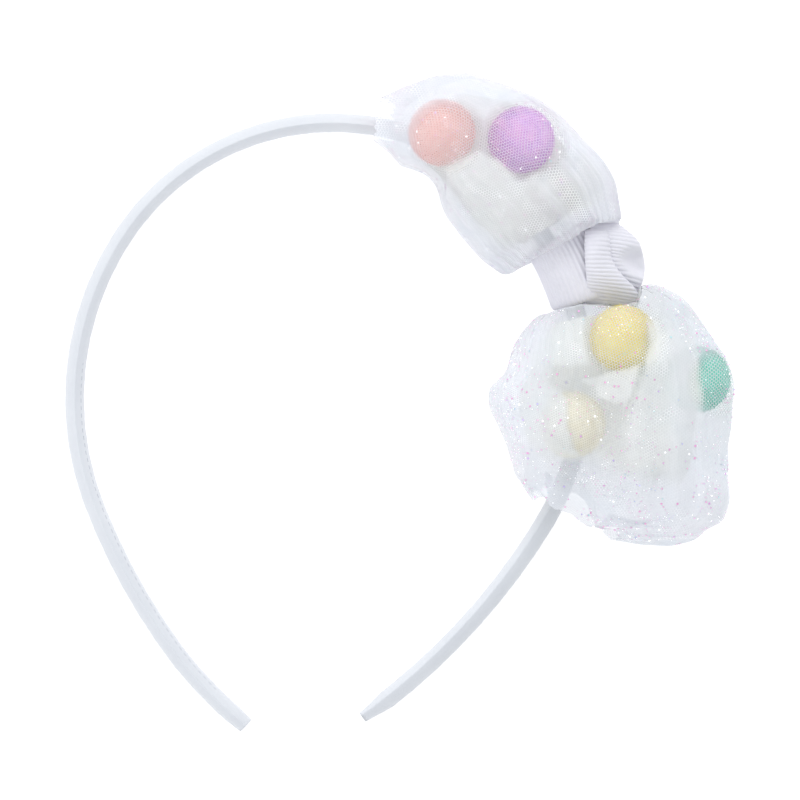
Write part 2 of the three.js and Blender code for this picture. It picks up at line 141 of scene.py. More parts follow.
def arm_length(arm):
    start = 0.0
    length = 0.0
    for share, until in arm:
        length += share * CROWN_RADIUS * (math.radians(until) - start)
        start = math.radians(until)
    return length


RIGHT_LENGTH = arm_length(RIGHT_ARM)
LEFT_LENGTH = arm_length(LEFT_ARM)


def band_point(distance):
    if distance >= 0:
        return arm_point(RIGHT_ARM, 1, distance)
    return arm_point(LEFT_ARM, -1, -distance)


left_arm = np.array([band_point(-d)[0] for d in np.arange(0, LEFT_LENGTH, 2.0)])
knot_point, UPHILL = band_point(KNOT_DISTANCE)
LOWEST_RISE = float(np.min(left_arm @ UPHILL))
SLOPE = (WAIST_HEIGHT - BAND_WIDTH / 2) / (float(knot_point @ UPHILL) - LOWEST_RISE)

# The part's own origin, found from where the frame holds the band.
band_low, band_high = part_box("headband")
ORIGIN = np.array(
    [
        band_low.x / MM - (left_arm[:, 0].min() - BAND_THICKNESS / 2),
        band_high.y / MM - (CROWN_RADIUS + BAND_THICKNESS / 2),
    ]
)


def band_height(point):
    return BAND_WIDTH / 2 + SLOPE * (point @ UPHILL - LOWEST_RISE)


def over_surface(distance, out, height):
    """Places from arrays of distances out from the band and heights above the surface."""
    point, facing = band_point(distance)
    flat = point + np.outer(np.atleast_1d(out), facing) + ORIGIN
    return np.column_stack([flat, np.broadcast_to(height, len(flat))])


def near_band(distance, out, up):
    """Places from arrays of distances out from the band's middle line and up from its plane."""
    point, facing = band_point(distance)
    flat = point + np.outer(np.atleast_1d(out), facing)
    return np.column_stack([flat + ORIGIN, band_height(flat) + up])


# Meshes


def mesh_object(name, points, faces, material, uv=None, smooth=True):
    """A mesh from points in millimetres. uv has one pair for each point."""
    mesh = bpy.data.meshes.new(name)
    mesh.from_pydata((np.asarray(points) * MM).tolist(), [], faces)
    mesh.validate()
    if uv is not None:
        layer = mesh.uv_layers.new(name="UVMap")
        corners = np.zeros(len(mesh.loops), np.int32)
        mesh.loops.foreach_get("vertex_index", corners)
        layer.data.foreach_set("uv", np.asarray(uv, np.float32)[corners].ravel())
    if smooth:
        mesh.polygons.foreach_set("use_smooth", [True] * len(mesh.polygons))
    mesh.materials.append(material)
    piece = bpy.data.objects.new(name, mesh)
    bpy.context.scene.collection.objects.link(piece)
    return piece


def grid_faces(rows, columns, wrap_columns=False, wrap_rows=False):
    faces = []
    for row in range(rows if wrap_rows else rows - 1):
        for column in range(columns if wrap_columns else columns - 1):
            right = (column + 1) % columns
            below = (row + 1) % rows
            faces.append(
                (
                    row * columns + column,
                    row * columns + right,
                    below * columns + right,
                    below * columns + column,
                )
            )
    return faces


def smooth_rows(rows, count):
    """Rows of a table spaced evenly along its first column, on monotone curves."""
    table = np.array(rows, float)
    along = table[:, 0]
    step = np.diff(along)[:, None]
    slope = np.diff(table, axis=0) / step
    tangent = np.zeros_like(table)
    tangent[1:-1] = (slope[:-1] + slope[1:]) / 2
    tangent[0] = slope[0]
    tangent[-1] = slope[-1]
    turning = np.zeros_like(tangent, bool)
    turning[1:-1] = slope[:-1] * slope[1:] <= 0
    tangent[turning] = 0
    result = []
    for value in np.linspace(along[0], along[-1], count):
        i = min(int(np.searchsorted(along, value, side="right")) - 1, len(along) - 2)
        h = along[i + 1] - along[i]
        t = (value - along[i]) / h
        result.append(
            (2 * t**3 - 3 * t**2 + 1) * table[i]
            + (t**3 - 2 * t**2 + t) * h * tangent[i]
            + (3 * t**2 - 2 * t**3) * table[i + 1]
            + (t**3 - t**2) * h * tangent[i + 1]
        )
    return np.array(result)


# Materials


class Shader:
    """A Principled material and short calls for the nodes that feed it."""

    def __init__(self, name, **values):
        self.material = bpy.data.materials.new(name)
        self.material.use_nodes = True
        self.nodes = self.material.node_tree.nodes
        self.links = self.material.node_tree.links
        self.principled = self.nodes["Principled BSDF"]
        for socket, value in values.items():
            self.principled.inputs[socket.replace("_", " ")].default_value = value

    def node(self, kind, settings=None, **inputs):
        made = self.nodes.new("ShaderNode" + kind)
        for key, value in (settings or {}).items():
            setattr(made, key, value)
        for key, value in inputs.items():
            socket = made.inputs[int(key[1:])] if key[0] == "i" and key[1:].isdigit() else made.inputs[key]
            if isinstance(value, bpy.types.NodeSocket):
                self.links.new(value, socket)
            else:
                socket.default_value = value
        return made

    def math(self, operation, first, second=0.0, third=0.0):
        made = self.node("Math", {"operation": operation}, i0=first, i1=second, i2=third)
        return made.outputs[0]

    def ramp(self, factor, stops):
        made = self.node("ValToRGB", None, i0=factor)
        elements = made.color_ramp.elements
        while len(elements) < len(stops):
            elements.new(0.5)
        for element, (position, colour) in zip(elements, stops):
            element.position = position
            element.color = (*colour, 1)
        return made.outputs[0]

    def set(self, socket, value):
        self.links.new(value, self.principled.inputs[socket])

    def bump(self, height, distance, strength=1.0):
        made = self.node("Bump", None, Height=height, Distance=distance, Strength=strength)
        self.set("Normal", made.outputs[0])


def net_mask(shader, cell, thread):
    """1 on the threads of a fine six-sided net and 0 in its holes; cell is its pitch in mm."""
    place = shader.node("UVMap", {"uv_map": "UVMap"}).outputs[0]
    waves = []
    for turn in (0, 60, 120):
        angle = math.radians(turn)
        wave = 2 * math.pi / (cell * math.sin(math.radians(60)))
        direction = (wave * math.cos(angle), wave * math.sin(angle), 0)
        dot = shader.node("VectorMath", {"operation": "DOT_PRODUCT"}, i0=place, i1=direction)
        waves.append(shader.math("COSINE", dot.outputs["Value"]))
    total = shader.math("ADD", shader.math("ADD", waves[0], waves[1]), waves[2])
    soft = shader.node(
        "MapRange", {"interpolation_type": "SMOOTHSTEP"}, i0=total, i1=thread + 0.25, i2=thread - 0.25
    )
    return soft.outputs[0]


# How the band's net coordinates count the angle round it, and where the stitches lie.
UV_TURN = 2.6
SEAM_ANGLE = 2.55
SEAM_ENDS = (-176.0, -92.0)


def satin_material():
    shader = Shader(
        "satin", Roughness=0.42, Sheen_Weight=0.15, Sheen_Roughness=0.4, Specular_IOR_Level=0.4
    )
    place = shader.node("TexCoord").outputs["Object"]
    cloud = shader.node("TexNoise", None, Vector=place, Scale=90.0, Detail=4.0).outputs["Fac"]
    colour = shader.ramp(cloud, ((0.3, (0.75, 0.77, 0.81)), (0.7, (0.79, 0.81, 0.845))))
    uv = shader.node("UVMap", {"uv_map": "UVMap"}).outputs[0]
    # Short stitches along the inside of the left arm, from SEAM_ENDS to SEAM_ENDS.
    split = shader.node("SeparateXYZ", None, Vector=uv)
    beside = shader.math("ABSOLUTE", shader.math("SUBTRACT", split.outputs[0], SEAM_ANGLE * UV_TURN))
    line = shader.math("LESS_THAN", beside, 0.1)
    dash = shader.math("GREATER_THAN", shader.math("SINE", shader.math("MULTIPLY", split.outputs[1], 3.6)), -0.1)
    after = shader.math("GREATER_THAN", split.outputs[1], SEAM_ENDS[0])
    before = shader.math("LESS_THAN", split.outputs[1], SEAM_ENDS[1])
    stitch = shader.math("MULTIPLY", shader.math("MULTIPLY", line, dash), shader.math("MULTIPLY", after, before))
    sewn = shader.node("Mix", {"data_type": "RGBA"}, Factor=stitch, i6=colour, i7=(0.55, 0.57, 0.63, 1))
    shader.set("Base Color", sewn.outputs[2])
    thread = shader.node(
        "TexWave", {"bands_direction": "Y"}, Vector=uv, Scale=1.6, Distortion=0.6, Detail=2.0
    ).outputs["Fac"]
    grain = shader.node("TexNoise", None, Vector=place, Scale=2600.0, Detail=2.0).outputs["Fac"]
    relief = shader.math("ADD", shader.math("MULTIPLY", thread, 0.5), grain)
    shader.bump(relief, 0.00006, 0.6)
    return shader.material


def grosgrain_material():
    shader = Shader("grosgrain", Roughness=0.7, Sheen_Weight=0.15, Sheen_Roughness=0.5)
    place = shader.node("TexCoord").outputs["Object"]
    cloud = shader.node("TexNoise", None, Vector=place, Scale=160.0, Detail=5.0).outputs["Fac"]
    colour = shader.ramp(cloud, ((0.3, (0.78, 0.77, 0.83)), (0.7, (0.83, 0.82, 0.875))))
    shader.set("Base Color", colour)
    grain = shader.node("TexNoise", None, Vector=place, Scale=3000.0, Detail=2.0).outputs["Fac"]
    shader.bump(grain, 0.00005, 0.7)
    return shader.material


def glitter_tulle_material():
    shader = Shader("glitter_tulle", Roughness=0.4, Specular_IOR_Level=0.5)
    place = shader.node("TexCoord").outputs["Object"]
    cloud = shader.node("TexNoise", None, Vector=place, Scale=70.0, Detail=3.0).outputs["Fac"]
    between = shader.ramp(
        cloud, ((0.3, (0.83, 0.88, 0.95)), (0.5, (0.88, 0.90, 0.95)), (0.7, (0.90, 0.90, 0.96)))
    )
    # The net's threads show where the cloth lies clear over a pompom, and they are painted white in patches as
    # painted highlights where they catch the light.
    haze = shader.node("Attribute", {"attribute_name": "haze"}).outputs["Fac"]
    clear = shader.math("MULTIPLY_ADD", haze, -2.8, 1.4)
    patches = shader.node("TexNoise", None, Vector=place, Scale=150.0, Detail=3.0).outputs["Fac"]
    glint = shader.node("MapRange", None, i0=patches, i1=0.50, i2=0.74, i4=0.8).outputs[0]
    # Along the hem the threads are painted white too, a painted highlight.
    cover = shader.node("Attribute", {"attribute_name": "cover"}).outputs["Fac"]
    hem = shader.math("MULTIPLY_ADD", cover, -0.8, 0.8)
    lit = shader.math("MAXIMUM", glint, hem)
    shown = shader.node("Clamp", None, i0=shader.math("MAXIMUM", clear, lit), i1=0.10, i2=1.0)
    net = shader.math("MULTIPLY", net_mask(shader, 0.66, -0.7), shown.outputs[0])
    mix = shader.node("Mix", {"data_type": "RGBA"}, Factor=net, i6=between, i7=(0.98, 0.98, 1, 1))
    shader.set("Base Color", mix.outputs[2])
    thread = shader.math("MULTIPLY", shader.math("SUBTRACT", 1.0, haze), 0.6)
    shader.set("Alpha", shader.math("MULTIPLY_ADD", net, thread, haze))
    return shader.material


def milky_tulle_material():
    shader = Shader("milky_tulle", Roughness=0.9)
    place = shader.node("TexCoord").outputs["Object"]
    cloud = shader.node("TexNoise", None, Vector=place, Scale=60.0, Detail=3.0).outputs["Fac"]
    colour = shader.ramp(cloud, ((0.35, (0.94, 0.94, 0.86)), (0.65, (0.97, 0.97, 0.91))))
    shader.set("Base Color", colour)
    cover = shader.node("Attribute", {"attribute_name": "cover"}).outputs["Fac"]
    woven = shader.math("MULTIPLY_ADD", net_mask(shader, 0.5, -0.1), 0.06, 0.78)
    shader.set("Alpha", shader.math("MULTIPLY", woven, cover))
    return shader.material


def felt_material(name, dark, light):
    shader = Shader(name, Roughness=0.95, Sheen_Weight=0.3, Sheen_Roughness=0.6)
    place = shader.node("TexCoord").outputs["Object"]
    cloud = shader.node("TexNoise", None, Vector=place, Scale=420.0, Detail=6.0).outputs["Fac"]
    shader.set("Base Color", shader.ramp(cloud, ((0.3, dark), (0.7, light))))
    fuzz = shader.node("TexNoise", None, Vector=place, Scale=2400.0, Detail=4.0).outputs["Fac"]
    shader.bump(fuzz, 0.00015, 0.8)
    return shader.material


def glitter_material():
    shader = Shader("glitter", Roughness=0.3, Metallic=0.2)
    tone = shader.node("Attribute", {"attribute_name": "tone"}).outputs["Fac"]
    colour = shader.ramp(
        tone,
        (
            (0.0, (1.0, 1.0, 1.0)),
            (0.28, (1.0, 1.0, 1.0)),
            (0.33, (1.0, 0.58, 0.82)),
            (0.58, (0.95, 0.42, 0.72)),
            (0.74, (0.85, 0.40, 0.76)),
            (0.86, (0.66, 0.50, 0.92)),
            (0.94, (0.50, 0.84, 0.82)),
            (1.0, (0.58, 0.46, 0.62)),
        ),
    )
    shader.set("Base Color", colour)
    # The white flecks glow a little: a painted glint, not a lamp.
    painted_glint = shader.node("MapRange", None, i0=tone, i1=0.32, i2=0.26).outputs[0]
    shader.set("Emission Strength", shader.math("MULTIPLY", painted_glint, 0.45))
    shader.principled.inputs["Emission Color"].default_value = (1, 1, 1, 1)
    return shader.material


# The band


def headband():
    """The satin band, creased along each face where the ribbon's two edges meet."""
    around = 48
    stations = 420
    points = []
    uv = []
    for row in range(stations):
        distance = -LEFT_LENGTH + (LEFT_LENGTH + RIGHT_LENGTH) * row / (stations - 1)
        to_right = min(1, (RIGHT_LENGTH - distance) / 7)
        to_left = min(1, (LEFT_LENGTH + distance) / 3.5)
        size = min(0.55 + 0.45 * to_right, 0.85 + 0.15 * to_left)
        angle = 2 * math.pi * (np.arange(around) + 0.5) / around
        lens = np.sign(np.cos(angle)) * np.abs(np.cos(angle)) ** 1.6
        ridge = 0.05 * np.sin(angle) ** 8
        wobble = 0.012 * math.sin(distance * 0.9) + 0.01 * math.sin(distance * 2.3 + 1)
        # The right arm is turned a little, and the left one curves in at its tip.
        turned = min(max((distance - 60) / 50, 0), 1)
        curved = min(max((-distance - 165) / 22, 0), 1)
        shift = -0.35 * turned - 1.25 * curved**1.4 - 0.55 * turned * np.sin(angle)
        out = (0.5 * lens - ridge) * BAND_THICKNESS * size * (1 + wobble) + shift
        up = 0.5 * np.sin(angle) * BAND_WIDTH * size
        points.append(near_band(distance, out, up))
        uv.append(np.column_stack([angle * UV_TURN, np.full(around, distance)]))
    faces = grid_faces(stations, around, wrap_columns=True)
    first = tuple(range(around))
    last = tuple((stations - 1) * around + i for i in reversed(range(around)))
    piece = mesh_object(
        "satin_band", np.vstack(points), faces + [first, last], satin_material(), np.vstack(uv)
    )
    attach(piece, "root")
    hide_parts("headband")
    return piece


# Tulle


def ring_noise(angle, turns, along, seed):
    """Smooth noise round a ring, with about as many waves as turns."""
    size = turns / 2
    return np.array(
        [noise.noise(Vector((size * math.cos(a), size * math.sin(a), along + seed))) for a in angle]
    )


def tulle_points(lobe, rows, around, seed, sag=0.0, balls=(), beside_knot=None, behind=0.0):
    """A tube of tulle round the band, pleated from the waist to the mouth.

    beside_knot is how near the knot the tulle may come, at distances out from the band, and behind
    how far it reaches in behind the knot's outside.
    """
    angle = 2 * math.pi * np.arange(around) / around
    across = np.cos(angle)
    up = np.sin(angle)
    power = np.where(up >= 0, 0.87, 0.6)
    last = rows[-1][0]
    points = []
    for along, inner, outer, bottom, top, depth in rows:
        middle = (outer - inner) / 2
        half = (outer + inner) / 2
        waist = bottom + 0.36 * (top - bottom)
        opened = np.clip((along - 5) / 6, 0, 1)
        mouth = np.clip((along - last + 9) / 9, 0, 1)
        # Broad folds run the whole length; fine gathers spread from the waist and die out.
        broad = ring_noise(angle, 7, along * 0.018, seed)
        sharp = 1 - 2 * np.abs(ring_noise(angle, 13, along * 0.014, seed + 9))
        gather = ring_noise(angle, 44, along * 0.01, seed + 4) * math.exp(-max(0, along - 8) / 9)
        fold = depth * (0.9 * broad + 0.35 * sharp - 0.3) + min(depth, 1) * 0.8 * gather
        out = middle + (half + 0.7 * fold) * np.sign(across) * np.abs(across) ** power
        rise = np.where(up >= 0, top - waist + 1.2 * fold, (waist - bottom) * 1.12)
        height = waist + rise * np.sign(up) * np.abs(up) ** power
        height = height - sag * opened * np.clip(up, 0, 1) ** 0.5
        ruffle = 0.8 * ring_noise(angle, 6, 0, seed + 2) + 0.6 * ring_noise(angle, 18, 0, seed + 6)
        # Below the roof the mouth's edge falls back, further in some places than in others.
        back = np.clip(0.45 - up, 0, 1) * (3.0 + 5.0 * ring_noise(angle, 9, 0, seed + 7))
        ripple = 1.8 * np.array([noise.noise(Vector((0.25 * z, 4, seed))) for z in height])
        shift = mouth * (ruffle + 0.25 * np.cos(9 * angle) + ripple - np.maximum(back, 0))
        # On the outside the tulle stops short of the knot that stands there.
        if beside_knot is not None:
            near = min(max((11 - along) / 4, 0), 1)
            tuck = behind * near * np.clip((out - 12) / 4, 0, 1)
            shift = shift - tuck
            out = out - 0.5 * tuck
            shift = shift + np.maximum(np.interp(out, *beside_knot) - along - shift, 0) * (up > -0.2)
        distance = KNOT_DISTANCE + lobe["turn"] * along
        ring = over_surface(distance, out, 0)
        facing = band_point(distance)[1]
        ring[:, :2] += lobe["turn"] * shift[:, None] * np.array([facing[1], -facing[0]])
        ring[:, 2] = np.maximum(height, bottom + 0.15)
        points.append(ring)
    points = np.array(points)
    free = np.array([row[0] > 8.2 or row[2] > 12 for row in rows])
    roof = free[:, None] & (up > 0)
    # It hugs the pompoms everywhere, and its sides rise to the wider tent over them bit by bit.
    height = points[..., 2]
    hugged = np.maximum(height, over_balls(points, balls, 0.7, 1.8))
    tented = np.maximum(over_balls(points, balls, 0.7, 0.75) - hugged, 0)
    points[..., 2] = np.where(roof, hugged + np.clip(up / 0.5, 0, 1) * tented, height)
    return points


def over_balls(points, balls, gap, slope):
    """The height of a sheet tented over the pompoms, far below where no ball lifts it."""
    reach = POMPOM_RADIUS + gap
    shoulder = 0.6 * reach
    height = np.full(points.shape[:-1], -100.0)
    for ball in balls:
        aside = np.hypot(points[..., 0] - ball[0], points[..., 1] - ball[1])
        on_ball = ball[2] + np.sqrt(np.maximum(reach**2 - np.minimum(aside, shoulder) ** 2, 0))
        height = np.maximum(height, on_ball - slope * np.maximum(aside - shoulder, 0))
    return height


def crumple(points, amount, scale, seed):
    """Small soft dents, as cloth has that was pressed in a packet."""
    flat = points.reshape(-1, 3)
    for i, point in enumerate(flat):
        shift = noise.noise_vector(Vector(point) / scale + Vector((seed, 0, 0)))
        flat[i] += np.array(shift) * amount
    flat[:, 2] = np.maximum(flat[:, 2], 0.15)
    return flat.reshape(points.shape)


def chord_rows(rows, count):
    """Rows of a table on smooth curves, spaced by how far the section travels."""
    table = np.array(rows, float)
    travelled = np.linalg.norm(np.diff(table[:, [0, 2, 4]], axis=0), axis=1)
    return smooth_rows(np.column_stack([np.append(0, np.cumsum(travelled)), table]), count)[:, 1:]


def beside(points, start, end):
    """How far points lie from the line between two places."""
    along = end - start
    share = np.clip((points - start) @ along / max(along @ along, 1e-9), 0, 1)
    return np.linalg.norm(points - start - share[..., None] * along, axis=-1)


def tulle_tube(name, lobe, rows, count, around, material, width, clear=(), **shape):
    """A tube of tulle. clear has the places where it's clear: start, end, reach and share."""
    points = tulle_points(lobe, chord_rows(rows, count), around, **shape)
    points = crumple(points, 0.45, 6.0, shape["seed"])
    haze = np.full((count, around + 1), HAZE)
    for start, end, reach, share in clear:
        aside = beside(points[..., :2], start, end)
        above = points[..., 2] > 11
        lighter = above * share * (HAZE - CLEAR_HAZE) * np.clip((reach - aside) / 3, 0, 1)
        haze[:, :-1] = np.minimum(haze[:, :-1], HAZE - lighter)
    haze[:, -1] = haze[:, 0]
    # The net is woven flat, so its pitch is the same all over the cloth and crowds at the waist. It
    # is counted from the top of the tube.
    length = np.linalg.norm(np.diff(points, axis=0), axis=2).mean(axis=1)
    seam = np.concatenate([points, points[:, :1]], axis=1)
    columns = around + 1
    steps = np.linalg.norm(np.diff(seam, axis=1), axis=2)
    round_it = np.column_stack([np.zeros(count), np.cumsum(steps, axis=1)])
    crowded = np.maximum(round_it[:, -1:], 0.55 * width) / round_it[:, -1:]
    uv = np.zeros((count, columns, 2))
    uv[..., 0] = crowded * (round_it - round_it[:, around // 4, None])
    uv[..., 1] = np.append(0, np.cumsum(length))[:, None]
    faces = grid_faces(count, columns)
    piece = mesh_object(name, seam.reshape(-1, 3), faces, material, uv.reshape(-1, 2))
    layer = piece.data.attributes.new("haze", "FLOAT", "POINT")
    layer.data.foreach_set("value", haze.ravel())
    fade = np.ones((count, columns))
    hem = count // 8
    fade[-hem:] = np.linspace(1, 0.15, hem)[:, None]
    layer = piece.data.attributes.new("cover", "FLOAT", "POINT")
    layer.data.foreach_set("value", fade.ravel())
    return piece


# How far, in mm, each soft pompom is pressed aside from its round solid by the tulle over it.
PRESSED = {
    "pompom_peach": (0.0, -0.7, 0.0),
    "pompom_lilac": (-0.7, 0.7, 0.0),
    "pompom_yellow": (-0.8, 0.8, 0.0),
    "pompom_cream": (-0.9, 0.2, 0.0),
    "pompom_mint": (0.6, 0.0, 0.0),
}


def ball_places(names):
    places = []
    for name in names:
        low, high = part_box(name)
        places.append(np.array((low + high) / 2) / MM + PRESSED[name])
    return places


# How cloudy the glitter tulle is, and how cloudy it is where it lies clear over a pompom.
HAZE = 0.62
CLEAR_HAZE = 0.12

# Where each lobe's tulle is clear: a pompom, a shift in mm of the clear place, its reach and share.
CLEAR_PLACES = {
    "pompom_peach": ((1.4, -1.8), 9.6, 0.85),
    "pompom_lilac": ((0.6, -0.8), 10.5, 1.0),
    "pompom_yellow": ((0.0, 0.0), 10.5, 1.0),
    "pompom_cream": ((1.2, 0.5), 9.0, 0.5),
    "pompom_mint": ((5.0, -0.6), 8.5, 1.0),
}

# Clearer places in the tulle between two points (distance from the knot, out from the band), their
# reach and share: the streak from the lilac pompom to the knot, and each lobe's milky inside.
CLEARER = {
    "upper": (((23.0, 10.6), (9.0, 9.4), 4.0, 0.66), ((36.0, -1.0), (12.0, -2.0), 10.0, 0.36)),
    "lower": (((12.0, 6.0), (38.0, 6.0), 15.0, 0.36),),
}


def clear_places(name):
    places = []
    for ball in BALLS[name]:
        (centre,) = ball_places([ball])
        shift, reach, share = CLEAR_PLACES[ball]
        middle = centre[:2] + shift
        places.append((middle, middle, reach, share))
    turn = LOBES[name]["turn"]
    for *ends, reach, share in CLEARER[name]:
        start, end = (over_surface(KNOT_DISTANCE + turn * far, out, 0)[0, :2] for far, out in ends)
        places.append((start, end, reach, share))
    return places


# How near the knot each lobe's tulle may come, from the knot's middle at distances out from the
# band, and how far it reaches in behind the knot, in mm.
BESIDE_KNOT = {
    "upper": ((5.0, 7.0, 12.0, 16.5, 19.0), (3.0, 6.4, 6.0, 4.0, 3.2)),
    "lower": ((0.5, 2.8, 8.0, 13.0, 14.2, 15.0), (7.5, 8.6, 10.2, 10.9, 9.4, 7.4)),
}
BEHIND_KNOT = {"upper": 3.8, "lower": 0.0}


def outer_tulle():
    material = glitter_tulle_material()
    pieces = {}
    for name, width in (("upper", 118), ("lower", 160)):
        lobe = LOBES[name]
        piece = tulle_tube(
            f"glitter_tulle_{name}",
            lobe,
            lobe["sections"],
            130,
            300,
            material,
            width,
            seed=3.0 if name == "upper" else 8.0,
            sag=3.0,
            balls=ball_places(BALLS[name]),
            beside_knot=BESIDE_KNOT[name],
            behind=BEHIND_KNOT[name],
            clear=clear_places(name),
        )
        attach(piece, "root")
        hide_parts(f"tulle_lobe_{name}")
        pieces[name] = piece
    return pieces


# The milky tulle inside each lobe, as its sections in mm.
INNER_SECTIONS = {
    "upper": (
        (10.8, 4.6, 8.8, 1.5, 13.5, 0.1),
        (14.8, 7.6, 13.9, 1.5, 13.8, 0.2),
        (22.8, 9.5, 16.8, 1.5, 13.8, 0.3),
        (30.8, 8.4, 16.8, 1.5, 13.8, 0.3),
        (39.9, 5.5, 13.9, 1.5, 13.5, 0.3),
        (44.5, 4.8, 11.8, 1.5, 13.5, 0.4),
    ),
    "lower": (
        (10.6, 4.8, 8.9, 1.5, 13.5, 0.1),
        (14.6, 8.1, 12.6, 1.5, 13.8, 0.2),
        (22.4, 12.6, 17.4, 1.5, 13.8, 0.3),
        (30.2, 14.8, 20.7, 1.5, 13.8, 0.3),
        (39.2, 12.6, 25.9, 1.5, 13.5, 0.4),
        (43.7, 10.4, 24.4, 1.5, 13.2, 0.5),
    ),
}

# Loose layers of the milky tulle close under the glitter tulle. Each runs between two edges of
# (distance from the knot, out from the band), and lies a depth under the roof.
VEILS = {
    "upper": (
        (((41.0, -5.4), (37.0, -6.4), (30.0, -9.5), (20.0, -11.5), (11.0, -10.0)),
         ((34.5, 2.2), (29.5, 3.6), (23.5, 4.0), (15.5, 3.6), (9.0, 4.0)), 1.0),
        (((24.0, -2.0), (20.0, 0.6), (14.0, 3.0), (9.5, 4.0)),
         ((17.5, 19.6), (14.6, 19.6), (11.4, 18.4), (8.6, 16.0)), 1.5),
    ),
    "lower": (
        (((11.4, 14.8), (15.5, 13.2), (21.0, 11.8), (29.1, 9.0), (37.0, 7.4), (43.8, 11.7)),
         ((12.2, 22.4), (19.0, 25.7), (24.8, 26.2), (31.2, 26.8), (36.4, 26.3), (42.2, 22.0)), 0.9),
        (((22.6, -13.8), (30.6, -15.2), (39.7, -13.4), (46.0, -7.1)),
         ((26.2, -6.3), (29.7, -4.5), (37.6, -2.4), (43.3, 2.2)), 0.8),
        (((24.4, -3.0), (26.0, -1.0), (28.4, 1.6)), ((20.8, 13.6), (25.5, 11.2), (30.3, 8.7)), 0.6),
        (((10.2, -5.0), (13.3, -9.7), (17.8, -12.6), (22.9, -13.4)),
         ((9.4, 1.6), (13.7, 0.8), (18.1, 0.6), (21.7, 1.6)), 1.0),
    ),
}
BALLS = {
    "upper": ("pompom_peach", "pompom_lilac"),
    "lower": ("pompom_yellow", "pompom_cream", "pompom_mint"),
}


def under_roof(roof, points, depth):
    """Lowers points to a depth under the glitter tulle's top layer."""
    for point in points.reshape(-1, 3):
        hit = roof.ray_cast(Vector((point[0], point[1], 60)), Vector((0, 0, -1)))[0]
        point[2] = (hit.z if hit else 6.0) - depth


def veil(lobe, roof, balls, left, right, depth, seed):
    """A loose sheet between two edges, close under the lobe's roof, and its net's coordinates."""
    rows, columns = 70, 70
    edges = []
    for edge in (left, right):
        edge = np.array(edge, float)
        steps = np.append(0, np.cumsum(np.linalg.norm(np.diff(edge, axis=0), axis=1)))
        edges.append(smooth_rows(np.column_stack([steps / steps[-1], edge]), rows)[:, 1:])
    points = np.zeros((rows, columns, 3))
    wave = np.zeros((rows, columns))
    for i in range(rows):
        for j in range(columns):
            x = j / (columns - 1)
            along, out = (1 - x) * edges[0][i] + x * edges[1][i]
            wave[i, j] = noise.noise(Vector((along * 0.35, out * 0.12, seed)))
            along += 0.8 * wave[i, j]
            out += 0.8 * noise.noise(Vector((out * 0.3, along * 0.3, seed + 5)))
            points[i, j] = over_surface(KNOT_DISTANCE + lobe["turn"] * along, out, 0)[0]
    under_roof(roof, points, 0.45)
    height = points[..., 2].copy()
    ceiling = height.copy()
    for _ in range(12):
        padded = np.pad(height, 1, mode="edge")
        height = (padded[:-2, 1:-1] + padded[2:, 1:-1] + padded[1:-1, :-2] + padded[1:-1, 2:]) / 4
    height = np.minimum(height - depth + 0.8 * wave, ceiling)
    points[..., 2] = np.maximum(height, over_balls(points, balls, 0.3, 0.75))
    uv = np.zeros((rows, columns, 2))
    across = np.linalg.norm(np.diff(points, axis=1), axis=2).sum(axis=1).mean()
    down = np.linalg.norm(np.diff(points, axis=0), axis=2).sum(axis=0).mean()
    uv[..., 0] = np.linspace(0, across, columns)
    uv[..., 1] = np.linspace(0, down, rows)[:, None]
    return points.reshape(-1, 3), uv.reshape(-1, 2), grid_faces(rows, columns)


def inner_tulle(outer_sheets):
    material = milky_tulle_material()
    pieces = {}
    for name, table in INNER_SECTIONS.items():
        lobe = LOBES[name]
        piece = tulle_tube(f"milky_tulle_{name}", lobe, table, 60, 180, material, 90, seed=14.0)
        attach(piece, "root")
        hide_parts(f"inner_tulle_{name}")
        pieces[name] = piece
        outer = outer_sheets[name].data
        corners = [v.co / MM for v in outer.vertices]
        roof = BVHTree.FromPolygons(corners, [tuple(p.vertices) for p in outer.polygons])
        balls = ball_places(BALLS[name])
        for number, (left, right, depth) in enumerate(VEILS[name]):
            points, uv, faces = veil(lobe, roof, balls, left, right, depth, 3.0 * number)
            layer = mesh_object(f"milky_layer_{name}_{number}", points, faces, material, uv)
            steps = np.linspace(0, 1, 70)
            rise = np.clip(np.minimum(steps, 1 - steps) / 0.16, 0, 1)
            fade = np.minimum(rise[:, None], rise[None, :])
            fade = fade * fade * (3 - 2 * fade)
            cover = layer.data.attributes.new("cover", "FLOAT", "POINT")
            cover.data.foreach_set("value", fade.ravel())
            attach(layer, "root")
            pieces[f"{name}_{number}"] = layer
    return pieces


# Pompoms


